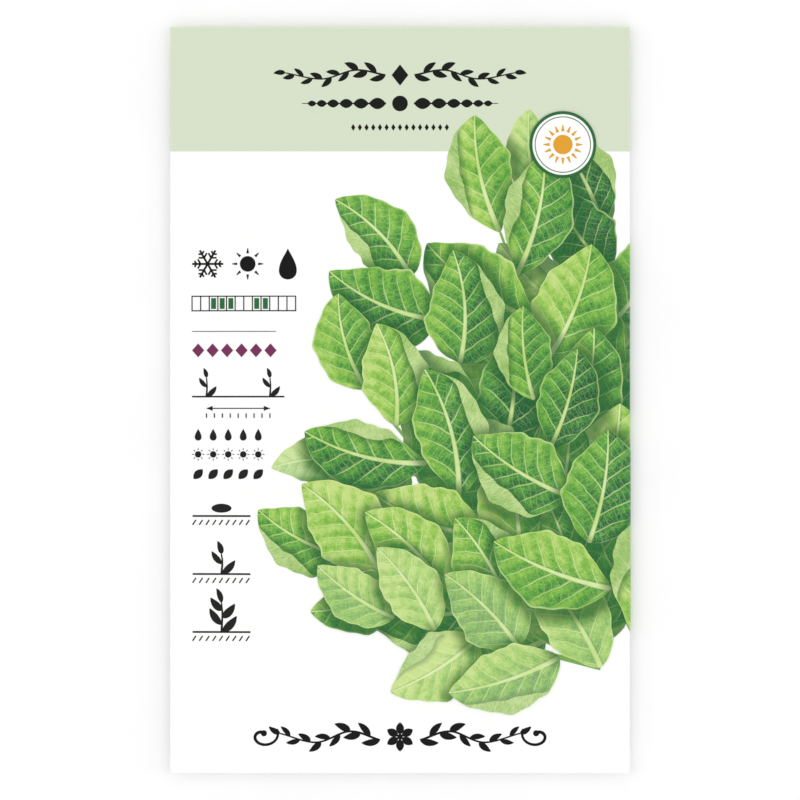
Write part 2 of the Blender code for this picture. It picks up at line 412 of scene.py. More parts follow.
def add_shape(bm, points):
    """A filled outline."""
    bm.faces.new([bm.verts.new((x, y, 0.0)) for x, y in points])


def round_points(centre, radius, sides):
    turn = 2 * math.pi / sides
    return [(centre[0] + radius * math.cos(k * turn), centre[1] + radius * math.sin(k * turn))
            for k in range(sides)]


def add_disc(bm, centre, radius, sides=48):
    add_shape(bm, round_points(centre, radius, sides))


def add_ring(bm, radius, width, sides=72):
    """A ring round the origin, of this width inside its radius."""
    edges = [round_points((0.0, 0.0), r, sides) for r in (radius - width, radius)]
    rows = [[bm.verts.new((x, y, 0.0)) for x, y in pair] for pair in zip(*edges)]
    for k, (inner, outer) in enumerate(rows):
        next_inner, next_outer = rows[(k + 1) % sides]
        bm.faces.new((inner, outer, next_outer, next_inner))


def add_lozenge(bm, centre, half_width, half_height):
    x, y = centre
    add_shape(bm, [(x + half_width, y), (x, y + half_height), (x - half_width, y), (x, y - half_height)])


def add_drawing(bm, other, at=(0.0, 0.0), turn=0.0, mirrored=False, keep=False):
    """Copies another flat drawing into this one. The other is used up, unless it is kept."""
    mesh = new_mesh(other.copy() if keep else other, "drawing")
    flip = Matrix.Diagonal((-1.0 if mirrored else 1.0, 1.0, 1.0, 1.0))
    mesh.transform(Matrix.Translation((*at, 0.0)) @ Matrix.Rotation(turn, 4, "Z") @ flip)
    bm.from_mesh(mesh)
    bpy.data.meshes.remove(mesh)


def add_both_ways(bm, half, centre):
    """Adds a drawing to the right of a centre, and its mirror image to the left."""
    add_drawing(bm, half, centre, keep=True)
    add_drawing(bm, half, centre, mirrored=True)


def turn_up(bm):
    """Turns a flat drawing's faces so that all of them face up."""
    bm.normal_update()
    for face in bm.faces:
        if face.normal.z < 0:
            face.normal_flip()


def united(bm):
    """Joins the overlapping shapes of a drawing into one flat layer with the same outline."""
    turn_up(bm)
    bm.verts.index_update()
    corners = [vert.co.xy for vert in bm.verts]
    faces = [[vert.index for vert in face.verts] for face in bm.faces]
    places, _, parts, _, _, sources = delaunay_2d_cdt(corners, [], faces, 1, 1e-4)
    bm.free()
    flat = bmesh.new()
    verts = [flat.verts.new((*place, 0.0)) for place in places]
    for part, source in zip(parts, sources):
        if source:
            flat.faces.new([verts[i] for i in part])
    bmesh.ops.delete(flat, geom=[vert for vert in flat.verts if not vert.link_faces], context="VERTS")
    bmesh.ops.dissolve_limit(flat, angle_limit=0.002, verts=flat.verts, edges=flat.edges)
    return flat


def cut_along(bm, point, normal, clear=False):
    everything = [*bm.verts, *bm.edges, *bm.faces]
    bmesh.ops.bisect_plane(bm, geom=everything, dist=1e-5, plane_co=point, plane_no=normal, clear_outer=clear)


def cut_to_cells(bm):
    """Cuts a drawing's faces along a square grid, so that they can follow the curved paper."""
    bmesh.ops.triangulate(bm, faces=bm.faces)
    for axis, normal in enumerate((Vector((1.0, 0.0, 0.0)), Vector((0.0, 1.0, 0.0)))):
        places = [vert.co[axis] for vert in bm.verts]
        at = math.ceil(min(places) / INK_CELL) * INK_CELL
        while at < max(places):
            cut_along(bm, normal * at, normal)
            at += INK_CELL


def trim_to_right_edge(bm):
    """Trims a drawing just past the right fold, and cuts it at the fold's steps so that it follows them."""
    right = Vector((1.0, 0.0, 0.0))
    places = [u / MM for u in fold_places(RIGHT_FOLD_X, RIGHT_RADIUS)]
    cut_along(bm, right * (places[-1] + EDGE_BLEED), right, clear=True)
    for u in places:
        cut_along(bm, right * u, right)


def film(name, bm, material, place=on_packet, level=0):
    """Folds a flat drawing round the packet as a thin closed skin of ink, and makes it a piece."""
    levels = bm.verts.layers.float.get("level")
    turn_up(bm)
    lower = set(bm.verts)
    bmesh.ops.extrude_face_region(bm, geom=[*bm.faces, *bm.edges], use_keep_orig=True)
    for vert in bm.verts:
        lift = -INK_SINK if vert in lower else INK_LIFT + INK_LEVEL * (vert[levels] if levels else level)
        vert.co = place(vert.co.x * MM, vert.co.y * MM, lift)
    bmesh.ops.recalc_face_normals(bm, faces=bm.faces)
    return add_piece(name, new_mesh(bm, name), material)


def print_flat(name, drawing, at, ink, place=on_packet, level=0):
    """Prints a flat drawing here as one skin of ink that lies on this level."""
    bm = bmesh.new()
    add_drawing(bm, drawing, at)
    bm = united(bm)
    cut_to_cells(bm)
    trim_to_right_edge(bm)
    film(name, bm, ink, place, level)


# Node trees

class Number:
    """A value inside a node tree. Arithmetic on it adds Math nodes to the tree."""

    def __init__(self, nodes, socket):
        self.nodes = nodes
        self.socket = socket

    def __add__(self, other):
        return self.nodes.math("ADD", self, other)

    def __sub__(self, other):
        return self.nodes.math("SUBTRACT", self, other)

    def __rsub__(self, other):
        return self.nodes.math("SUBTRACT", other, self)

    def __mul__(self, other):
        return self.nodes.math("MULTIPLY", self, other)

    def __truediv__(self, other):
        return self.nodes.math("DIVIDE", self, other)

    def __pow__(self, other):
        return self.nodes.math("POWER", self, other)

    def __abs__(self):
        return self.nodes.math("ABSOLUTE", self)

    __rmul__ = __mul__


class Nodes:
    """Adds nodes to a tree, sets their properties and feeds their inputs with values or links."""

    def __init__(self, tree):
        self.tree = tree

    def feed(self, socket, value):
        if isinstance(value, Number):
            self.tree.links.new(value.socket, socket)
        else:
            socket.default_value = value

    def add(self, kind, inputs=None, **properties):
        node = self.tree.nodes.new(kind)
        for name, value in properties.items():
            setattr(node, name, value)
        for key, value in (inputs or {}).items():
            self.feed(node.inputs[key], value)
        return node

    def get(self, kind, inputs=None, output=0, **properties):
        """Adds a node and gives one of its outputs."""
        return Number(self, self.add(kind, inputs, **properties).outputs[output])

    def math(self, operation, *values):
        return self.get("ShaderNodeMath", dict(enumerate(values)), operation=operation)

    def step(self, value, low, high):
        """0 up to low, 1 from high on, and smooth between them. With low above high it falls."""
        inputs = {"Value": value, "From Min": low, "From Max": high}
        return self.get("ShaderNodeMapRange", inputs, interpolation_type="SMOOTHSTEP")

    def vector(self, x, y, z=0.0):
        return self.get("ShaderNodeCombineXYZ", {0: x, 1: y, 2: z})

    def split(self, vector):
        return [Number(self, socket) for socket in self.add("ShaderNodeSeparateXYZ", {0: vector}).outputs]

    def place(self):
        """Where on the object a point of it is."""
        return self.get("ShaderNodeTexCoord", output="Object")

    def noise(self, vector, scale, detail=2.0):
        """Noise between about -0.5 and 0.5."""
        return self.get("ShaderNodeTexNoise", {"Vector": vector, "Scale": scale, "Detail": detail}) - 0.5

    def mix(self, factor, low, high):
        inputs = {0: factor, 6: low, 7: high}
        return self.get("ShaderNodeMix", inputs, 2, data_type="RGBA", blend_type="MIX")

    def attribute(self, name):
        return self.get("ShaderNodeAttribute", output="Fac", attribute_name=name)

    def use(self, group, inputs):
        """Places a shader group and gives its outputs by name."""
        outputs = self.add("ShaderNodeGroup", inputs, node_tree=group).outputs
        return {socket.name: Number(self, socket) for socket in outputs}

    def index(self):
        return self.get("GeometryNodeInputIndex")

    def chance(self, low, high, seed):
        """A random number for each element, from this seed."""
        return self.get("FunctionNodeRandomValue", {2: low, 3: high, "Seed": seed}, 1, data_type="FLOAT")

    def store(self, geometry, name, value, domain="POINT", data_type="FLOAT"):
        inputs = {"Geometry": geometry, "Name": name, "Value": value}
        return self.get("GeometryNodeStoreNamedAttribute", inputs, data_type=data_type, domain=domain)

    def scatter(self, points, instance, inputs):
        return self.get("GeometryNodeInstanceOnPoints", {"Points": points, "Instance": instance, **inputs})


def new_tree(kind, name, inputs, outputs):
    """A node group with these named inputs and outputs, each name: (socket type, default)."""
    tree = bpy.data.node_groups.new(name, kind)
    for in_out, sockets in (("INPUT", inputs), ("OUTPUT", outputs)):
        for label, (socket_type, default) in sockets.items():
            socket = tree.interface.new_socket(label, in_out=in_out, socket_type="NodeSocket" + socket_type)
            if default is not None:
                socket.default_value = default
    nodes = Nodes(tree)
    start = nodes.add("NodeGroupInput").outputs
    given = {label: Number(nodes, start[label]) for label in inputs}
    return nodes, given, nodes.add("NodeGroupOutput").inputs


def geometry_tree(name, shape, numbers):
    """A geometry tree with a shape, these numbers or vectors, each with its default, and a material."""
    kinds = {int: "Int", float: "Float", tuple: "Vector"}
    values = {label: (kinds[type(value)], value) for label, value in numbers.items()}
    inputs = {shape: ("Geometry", None), **values, "Material": ("Material", None)}
    return new_tree("GeometryNodeTree", name, inputs, {"Made": ("Geometry", None)})


def finish_tree(nodes, given, result, geometry):
    """Ends a geometry tree with real geometry in its material."""
    real = nodes.get("GeometryNodeRealizeInstances", {"Geometry": geometry})
    inputs = {"Geometry": real, "Material": given["Material"]}
    nodes.feed(result[0], nodes.get("GeometryNodeSetMaterial", inputs))
    return nodes.tree


def grown(mesh, tree, values):
    """The plain mesh that a geometry tree makes from this one."""
    thing = new_object("growing", mesh)
    modifier = thing.modifiers.new(tree.name, "NODES")
    modifier.node_group = tree
    for item in tree.interface.items_tree:
        if item.in_out == "INPUT" and item.name in values:
            modifier[item.identifier] = values[item.name]
    graph = bpy.context.evaluated_depsgraph_get()
    made = bpy.data.meshes.new_from_object(
        thing.evaluated_get(graph), preserve_all_data_layers=True, depsgraph=graph)
    thing.modifiers.clear()
    bpy.data.objects.remove(thing)
    return made


# Geometry trees

def leaf_blade(nodes, given, side, slimness):
    """One leaf as a flat grid along +X that bends to this side, as an instance."""
    geometry = nodes.get("GeometryNodeMeshGrid", {"Size X": 1.0, "Size Y": 1.0, "Vertices X": given["Rows"],
                                                  "Vertices Y": given["Columns"]})
    x, y, _ = nodes.split(nodes.get("GeometryNodeInputPosition"))
    geometry = nodes.store(geometry, "along", x + 0.5)
    geometry = nodes.store(geometry, "across", y * 2.0)
    along, across = (nodes.get("GeometryNodeInputNamedAttribute", {"Name": name}, data_type="FLOAT")
                     for name in ("along", "across"))
    fullness = given["Fullness"] * slimness
    outline = nodes.math("MAXIMUM", nodes.math("SINE", math.pi * along ** fullness), 0.0)
    slow_wave = nodes.math("SINE", along * 17.0 + across * 1.3 + 2.0 * side + 5.0 * slimness)
    quick_wave = nodes.math("SINE", along * 39.0 + across * 2.1 + 3.0 * slimness)
    wave = (slow_wave + quick_wave * 0.5) * given["Margin Wave"]
    half = (outline ** 0.8 * (wave + 1.0) + 0.012) * given["Leaf Width"] * (0.5 / slimness)
    length = given["Leaf Length"]
    off = across * half
    geometry = nodes.store(geometry, "off_rib", off / length)
    bend = given["Bend"] * side
    angle = bend * along
    sine = nodes.math("SINE", angle)
    cosine = nodes.math("COSINE", angle)
    place = nodes.vector(sine / bend * length - sine * off, (1.0 - cosine) / bend * length + cosine * off)
    geometry = nodes.get("GeometryNodeSetPosition", {"Geometry": geometry, "Position": place})
    return nodes.get("GeometryNodeGeometryToInstance", {0: geometry})


def leaves_along_stem():
    """Leaves to both sides of a stem in turn, with one at its tip."""
    nodes, given, result = geometry_tree("leaves along a stem", "Stem", {
        "Leaves": 9, "Rows": 17, "Columns": 3, "Leaf Length": 24.0, "Leaf Width": 14.0, "Fullness": 0.75,
        "Margin Wave": 0.04, "Bend": 0.5, "Spread": 0.8, "Tip Size": 0.7, "Jitter": 0.15, "Seed": 1})
    curve = nodes.get("GeometryNodeMeshToCurve", {0: given["Stem"]})
    points = nodes.get("GeometryNodeResampleCurve", {"Curve": curve, "Count": given["Leaves"]})
    kinds = nodes.add("GeometryNodeJoinGeometry")
    for slimness in (1.0, 1.18):
        for side in (-1.0, 1.0):
            nodes.feed(kinds.inputs[0], leaf_blade(nodes, given, side, slimness))
    index = nodes.index()
    tip = nodes.math("COMPARE", index, given["Leaves"] - 1.0, 0.1)
    odd = nodes.math("MODULO", index, 2.0)
    second_pair = nodes.math("GREATER_THAN", nodes.math("MODULO", index, 4.0), 1.5)
    side = (odd * 2.0 - 1.0) * (1.0 - tip)
    tangent_x, tangent_y, _ = nodes.split(nodes.get("GeometryNodeInputTangent"))

    seed = given["Seed"] * 10.0
    heading = nodes.math("ARCTAN2", tangent_y, tangent_x)
    turn = heading + side * given["Spread"] + nodes.chance(-1.0, 1.0, seed + 1.0) * given["Jitter"]
    factor = nodes.get("GeometryNodeSplineParameter", output="Factor")
    size = (given["Tip Size"] - 1.0) * factor + 1.0
    size = size * (nodes.chance(-0.6, 0.6, seed + 2.0) * given["Jitter"] + 1.0)
    geometry = nodes.scatter(points, Number(nodes, kinds.outputs[0]), {
        "Pick Instance": True, "Instance Index": second_pair * 2.0 + odd,
        "Rotation": nodes.vector(0.0, 0.0, turn), "Scale": nodes.vector(size, size, size)})
    geometry = nodes.store(geometry, "leaf", index, "INSTANCE", "INT")
    geometry = nodes.store(geometry, "tone", nodes.chance(0.0, 1.0, seed + 3.0), "INSTANCE")
    return finish_tree(nodes, given, result, geometry)


def repeated_marks():
    """Copies of a mark in a row, where each steps on, or in a ring, where each turns on."""
    nodes, given, result = geometry_tree("repeated marks", "Mark", {
        "Count": 6, "Step": (0.0, 0.0, 0.0), "Turn": 0.0})
    line = nodes.get("GeometryNodeMeshLine", {"Count": given["Count"], "Offset": given["Step"]})
    turn = nodes.vector(0.0, 0.0, nodes.index() * given["Turn"])
    return finish_tree(nodes, given, result, nodes.scatter(line, given["Mark"], {"Rotation": turn}))


def heap_of_seeds():
    """Copies of a seed in a low heap, spread by the golden angle and each turned its own way."""
    nodes, given, result = geometry_tree("heap of seeds", "Seed Shape", {
        "Count": 100, "Radius X": 0.02, "Radius Y": 0.02, "Centre Y": 0.0, "Low": 0.0, "High": 0.001,
        "Seed": 1})
    line = nodes.get("GeometryNodeMeshLine", {"Count": given["Count"]})
    index = nodes.index()
    reach = ((index + 0.5) / given["Count"]) ** 0.5
    angle = index * (math.pi * (3.0 - math.sqrt(5.0)))

    seed = given["Seed"] * 10.0
    edge = 1.0 - reach * reach * 0.6
    height = given["Low"] + (given["High"] - given["Low"]) * nodes.math("FRACT", index * 0.382) * edge
    place = nodes.vector(nodes.math("COSINE", angle) * reach * given["Radius X"],
                         nodes.math("SINE", angle) * reach * given["Radius Y"] + given["Centre Y"], height)
    spread = nodes.get("GeometryNodeSetPosition", {"Geometry": line, "Position": place})
    turn = nodes.vector(nodes.chance(-0.35, 0.35, seed + 1.0), nodes.chance(-0.10, 0.10, seed + 2.0),
                        nodes.chance(0.0, 2 * math.pi, seed + 3.0))
    size = nodes.chance(0.86, 1.08, seed + 4.0)
    geometry = nodes.scatter(spread, given["Seed Shape"], {"Rotation": turn,
                                                           "Scale": nodes.vector(size, size, size)})
    geometry = nodes.store(geometry, "tone", nodes.chance(0.0, 1.0, seed + 5.0), "INSTANCE")
    return finish_tree(nodes, given, result, geometry)


# Shader groups

def shader_group(name, numbers, outputs):
    """A shader group with these numbers, each with its default, and these outputs, each with its kind."""
    return new_tree("ShaderNodeTree", name, {label: ("Float", value) for label, value in numbers.items()},
                    {label: (kind, None) for label, kind in outputs.items()})


def paper_surface_group():
    """Fibres and slow waves of coated paper."""
    nodes, given, result = shader_group("paper surface", {"Fibre": 1.0, "Wave": 1.0},
                                        {"Height": "Float", "Tone": "Float"})
    place = nodes.place()
    fibre = nodes.noise(place, 5200.0, 3.0)
    cloud = nodes.noise(place, 700.0, 3.0)
    wave = nodes.noise(place, 95.0)
    nodes.feed(result["Height"], (fibre * 0.35 + cloud * 0.5) * given["Fibre"] + wave * 2.2 * given["Wave"])
    nodes.feed(result["Tone"], (fibre * 0.5 + cloud * 0.5) * given["Fibre"])
    return nodes.tree


def fold_wear_group():
    """Rubbed spots along the packet's folded edges."""
    sizes = {"Half Width": 0.04, "Half Height": 0.06, "Reach": 0.001}
    nodes, given, result = shader_group("fold wear", sizes, {"Mask": "Float"})
    place = nodes.place()
    x, y, _ = nodes.split(place)
    inside = nodes.math("MINIMUM", given["Half Width"] - abs(x), given["Half Height"] - abs(y))
    spots = nodes.step(nodes.noise(place, 2400.0, 4.0), -0.05, 0.25)
    nodes.feed(result["Mask"], nodes.step(inside, given["Reach"], 0.0) * spots)
    return nodes.tree


def ink_mottle_group():
    """Uneven laying of ink: fine specks and slow clouds."""
    nodes, given, result = shader_group("ink mottle", {"Strength": 1.0}, {"Value": "Float"})
    place = nodes.place()
    specks = nodes.noise(place, 3800.0)
    clouds = nodes.noise(place, 160.0)
    nodes.feed(result["Value"], (specks * 0.7 + clouds * 0.5) * given["Strength"])
    return nodes.tree


def leaf_drawing_group():
    """A leaf as a pencil and wash drawing: ribs, veins, strokes, a turned edge and light from one side."""
    numbers = {**dict.fromkeys(LEAF_VALUES, 0.0), "Veins": 1.0, "Strokes": 1.0}
    nodes, given, result = shader_group("leaf drawing", numbers, {"Color": "Color", "Height": "Float"})
    along, across, off, tone, lit, shade, pale = (given[name] for name in LEAF_VALUES)
    step, mix = nodes.step, nodes.mix
    side = step(across, -0.02, 0.02)
    out = abs(across)
    rib_off = abs(off)
    own = tone * 31.0

    # Half of the leaves turn one edge over
    has_turn = step(nodes.math("FRACT", tone * 4.1), 0.50, 0.52)
    turn_side = step(nodes.math("FRACT", tone * 7.3), 0.49, 0.51) * 2.0 - 1.0
    turn_reach = step(along, 0.10, 0.5) * step(along, 1.0, 0.6) * has_turn * 0.45
    past_turn = across * turn_side + turn_reach - 1.0
    turned = step(past_turn, 0.0, 0.02)
    under_turn = step(past_turn, -0.24, 0.0) * (1.0 - turned) * step(turn_reach, 0.02, 0.15)

    # Veins, from the rib out, and the net between them
    wobble = nodes.noise(nodes.vector(along, off, own), 5.0)
    phase = (along - rib_off * 1.05 + rib_off * rib_off * 0.8) * 6.5 + side * 0.45 + wobble * 0.5
    fraction = nodes.math("FRACT", phase)
    vein_width = 0.17 - out * 0.11
    vein = step(abs(fraction - 0.5) * 2.0, vein_width, vein_width * 0.25) * step(out, 1.0, 0.7)
    small_phase = nodes.math("FRACT", (along + rib_off * 0.9) * 15.0 + wobble * 2.4)
    small_vein = step(abs(small_phase - 0.5), 0.09, 0.02) * step(out, 0.97, 0.6)
    net = nodes.get("ShaderNodeTexVoronoi", {"Vector": nodes.vector(along, off * 1.6, own), "Scale": 20.0},
                    "Distance", feature="DISTANCE_TO_EDGE")
    net_line = step(net, 0.075, 0.01)
    rib_width = (1.0 - along * 0.85) * 0.027 + 0.002
    rib = step(rib_off, rib_width, rib_width * 0.45)
    rib_side = step(rib_off, rib_width + 0.016, rib_width) * (1.0 - rib) * (1.0 - side * 0.7)
    rim = step(out, 0.925, 0.985)

    # Light and dark of the blade: pencil strokes, blotches, washes and the hollows between the veins
    strokes = nodes.noise(nodes.vector(phase * 5.5, rib_off * 9.0, own), 3.4, 3.0)
    fine_strokes = nodes.noise(nodes.vector(phase * 17.0, rib_off * 26.0, own), 4.0)
    blotches = nodes.noise(nodes.vector(along, off * 1.3, own), 12.0, 3.0)
    place = nodes.place()
    wash = nodes.noise(place, 210.0, 3.0)
    grain = nodes.noise(place, 3100.0)
    quilt = nodes.math("SINE", fraction * (2 * math.pi)) * (1.0 - rim)
    middle = step(out, 1.0, 0.15) * step(along, 1.0, 0.35)
    half_lit = step(lit, -0.10, 0.10) - 0.5
    pencil = (strokes * 0.70 + fine_strokes * 0.45 + grain * 0.35) * given["Strokes"]
    light = (blotches * 0.55 + (tone - 0.5) * 0.46 + lit * 0.13 + half_lit * 0.15
             + quilt * 0.10 * given["Veins"] + wash * 0.40 + pencil - middle * 0.15 + pale * 0.42 + 0.592)
    ramp = nodes.add("ShaderNodeValToRGB", {0: light})
    colours = ramp.color_ramp.elements
    while len(colours) < len(LEAF_GREENS):
        colours.new(0.5)
    for element, (position, colour) in zip(colours, LEAF_GREENS):
        element.position = position
        element.color = srgb(*colour)

    line_colour = mix(step(wash, -0.3, 0.3), srgb(190, 218, 120), srgb(226, 238, 182))
    lines = nodes.math("MAXIMUM", vein * 0.62, small_vein * 0.26)
    lines = nodes.math("MAXIMUM", lines, net_line * 0.17) * given["Veins"]
    lines = nodes.math("MAXIMUM", lines, nodes.math("MAXIMUM", rib * 0.9, rim * 0.55))
    colour = mix(rib_side * 0.45, Number(nodes, ramp.outputs[0]), srgb(44, 112, 54))
    colour = mix(lines, colour, line_colour)
    colour = mix(under_turn * 0.62, colour, srgb(36, 96, 48))
    underside = mix(step(strokes + wash + fine_strokes * 0.5, -0.35, 0.35), srgb(134, 178, 86),
                    srgb(196, 218, 150))
    underside = mix(vein * 0.35, underside, srgb(220, 234, 180))
    colour = mix(turned, colour, underside)
    depth = step(shade * 1.1 + strokes * 0.35 * shade, 0.0, 1.0)
    faded = step(pale + strokes * 0.5 * pale, 0.35, 1.05) * (1.0 - depth * 0.8)
    colour = mix(faded * 0.8, colour, srgb(212, 229, 176))
    nodes.feed(result["Color"], mix(depth * 0.77, colour, srgb(28, 94, 46)))
    nodes.feed(result["Height"], lines * 0.4 + quilt * 0.3)
    return nodes.tree


# Materials

def new_material(name):
    material = bpy.data.materials.new(name)
    material.use_nodes = True
    return material, Nodes(material.node_tree), material.node_tree.nodes["Principled BSDF"].inputs


def add_bump(nodes, shader, height, distance):
    bump = {"Strength": 1.0, "Distance": distance, "Height": height}
    nodes.feed(shader["Normal"], nodes.get("ShaderNodeBump", bump))


def paper_parts(nodes, groups, fibre, wear_reach):
    """Height and tone of coated paper, and where its folds are rubbed."""
    surface = nodes.use(groups["paper"], {"Fibre": fibre, "Wave": 0.5})
    wear = nodes.use(groups["wear"], {"Half Width": PACKET_WIDTH / 2, "Half Height": PACKET_HEIGHT / 2,
                                      "Reach": wear_reach})
    return surface["Height"], surface["Tone"], wear["Mask"]


def paper_material(groups):
    """White coated paper, a little grey where its folds are rubbed."""
    material, nodes, shader = new_material("coated paper")
    height, tone, worn = paper_parts(nodes, groups, 1.0, 0.5 * MM)
    white = nodes.mix(nodes.step(tone, -0.4, 0.4), srgb(246, 246, 245), srgb(253, 253, 252))
    nodes.feed(shader["Base Color"], nodes.mix(worn * 0.20, white, srgb(205, 203, 196)))
    nodes.feed(shader["Roughness"], worn * 0.25 + tone * 0.10 + PAPER_ROUGHNESS)
    shader["Specular IOR Level"].default_value = PAPER_GLOSS
    add_bump(nodes, shader, height, 0.03 * MM)
    return material


def ink_material(name, colour, mottle, groups):
    """One flat ink, mottled where it was laid and rubbed to the paper at the folds."""
    material, nodes, shader = new_material(name)
    height, _, worn = paper_parts(nodes, groups, 0.8, 0.3 * MM)
    laid = nodes.use(groups["mottle"], {"Strength": mottle})["Value"]
    lighter = tuple(c + (1.0 - c) * 0.35 for c in colour[:3]) + (1.0,)
    inked = nodes.mix(nodes.step(laid, 0.0, 0.9), colour, lighter)
    nodes.feed(shader["Base Color"], nodes.mix(worn * 0.25, inked, srgb(246, 246, 243)))
    nodes.feed(shader["Roughness"], laid * 0.3 + worn * 0.15 + INK_ROUGHNESS)
    shader["Specular IOR Level"].default_value = INK_GLOSS
    add_bump(nodes, shader, height, 0.025 * MM)
    return material


def leaf_material(groups):
    """The picture's greens."""
    material, nodes, shader = new_material("leaf inks")
    values = {name: nodes.attribute(name.lower().replace(" ", "_")) for name in LEAF_VALUES}
    drawing = nodes.use(groups["leaf"], {**values, "Veins": 1.0, "Strokes": 0.8})
    height, tone, worn = paper_parts(nodes, groups, 0.8, 0.3 * MM)
    nodes.feed(shader["Base Color"], nodes.mix(worn * 0.25, drawing["Color"], srgb(240, 242, 234)))
    nodes.feed(shader["Roughness"], worn * 0.15 + tone * 0.1 + INK_ROUGHNESS)
    shader["Specular IOR Level"].default_value = INK_GLOSS
    add_bump(nodes, shader, height + drawing["Height"] * 0.1, 0.025 * MM)
    return material


def glue_material():
    """Thin dried adhesive, yellowish and uneven."""
    material, nodes, shader = new_material("dried glue")
    place = nodes.place()
    streaks = nodes.noise(place, 420.0, 3.0)
    bubbles = nodes.noise(place, 2600.0)
    nodes.feed(shader["Base Color"], nodes.mix(nodes.step(streaks, -0.3, 0.3), srgb(212, 196, 150),
                                               srgb(236, 228, 198)))
    nodes.feed(shader["Roughness"], bubbles * 0.2 + 0.28)
    add_bump(nodes, shader, streaks + bubbles * 0.5, 0.02 * MM)
    return material


def seed_material():
    """Dry ribbed husks, from straw to grey-brown."""
    material, nodes, shader = new_material("seed husk")
    ribs = nodes.math("SINE", nodes.attribute("rib") * (10 * math.pi))
    specks = nodes.noise(nodes.place(), 4200.0, 3.0)
    body = nodes.mix(nodes.attribute("tone"), srgb(120, 102, 78), srgb(206, 190, 158))
    dark = nodes.step(ribs * 0.5 + specks, 0.25, -0.55)
    nodes.feed(shader["Base Color"], nodes.mix(dark * 0.6, body, srgb(78, 64, 48)))
    nodes.feed(shader["Roughness"], specks * 0.2 + 0.66)
    add_bump(nodes, shader, ribs * 0.5 + specks * 0.4, 0.05 * MM)
    return material


# The picture

def grown_leaves(tree, stem, values):
    """The leaves that grow along a stem, as one flat mesh. Each point knows its leaf and its place on it."""
    path = smooth_path(stem, STEM_POINTS)
    mesh = bpy.data.meshes.new("stem")
    mesh.from_pydata([(*point, 0.0) for point in path], [(i, i + 1) for i in range(len(path) - 1)], [])
    return grown(mesh, tree, values)


def point_values(mesh, name):
    data = mesh.attributes[name].data
    values = np.zeros(len(data))
    data.foreach_get("value", values)
    return values


def inside(points, outline):
    """Which points lie inside an outline."""
    x, y = points[:, :1], points[:, 1:]
    (x1, y1), (x2, y2) = outline.T, np.roll(outline, -1, axis=0).T
    crosses = (y1 > y) != (y2 > y)
    rise = np.where(y2 == y1, 1e-9, y2 - y1)
    return (crosses & (x < x1 + (y - y1) * (x2 - x1) / rise)).sum(axis=1) % 2 == 1


def distance_to(points, outline):
    """Distance from each point to an outline, 0 for a point inside it."""
    along = np.roll(outline, -1, axis=0) - outline
    offset = points[:, None, :] - outline
    t = np.clip((offset * along).sum(axis=2) / np.maximum((along**2).sum(axis=1), 1e-12), 0.0, 1.0)
    nearest = np.sqrt(((offset - t[:, :, None] * along) ** 2).sum(axis=2)).min(axis=1)
    return np.where(inside(points, outline), 0.0, nearest)


class PaintedLeaf:
    """One leaf of the picture: which points of its spray's mesh it has, and its outline."""

    def __init__(self, spray, chosen, places, along, across):
        self.spray = spray
        self.chosen = chosen
        self.points = places[chosen]
        order = np.argsort(along[chosen])
        left = [i for i in order if across[chosen][i] > 0.99]
        right = [i for i in order if across[chosen][i] < -0.99]
        self.outline = self.points[left + right[::-1]]
        self.low, self.high = self.outline.min(axis=0), self.outline.max(axis=0)
        axis = self.outline[len(left) - 1] - self.outline[0]
        axis = axis / np.linalg.norm(axis)
        self.lit_side = -axis[1] * LIGHT_SIDE[0] + axis[0] * LIGHT_SIDE[1]
        self.level = FIRST_LEAF_LEVEL

    def near(self, other, gap=0.0):
        return bool((self.low < other.high + gap).all() and (other.low < self.high + gap).all())

    def overlaps(self, other):
        return self.near(other) and bool(inside(self.points, other.outline).any()
                                         or inside(other.points, self.outline).any())


def painted_leaves(spray, mesh):
    """The leaves of a spray in the order in which they are painted, from its tip down."""
    places = np.zeros(len(mesh.vertices) * 3)
    mesh.vertices.foreach_get("co", places)
    places = places.reshape(-1, 3)[:, :2]
    along, across, numbers = (point_values(mesh, name) for name in ("along", "across", "leaf"))
    return [PaintedLeaf(spray, np.flatnonzero(numbers == number), places, along, across)
            for number in sorted(set(numbers), reverse=True)]


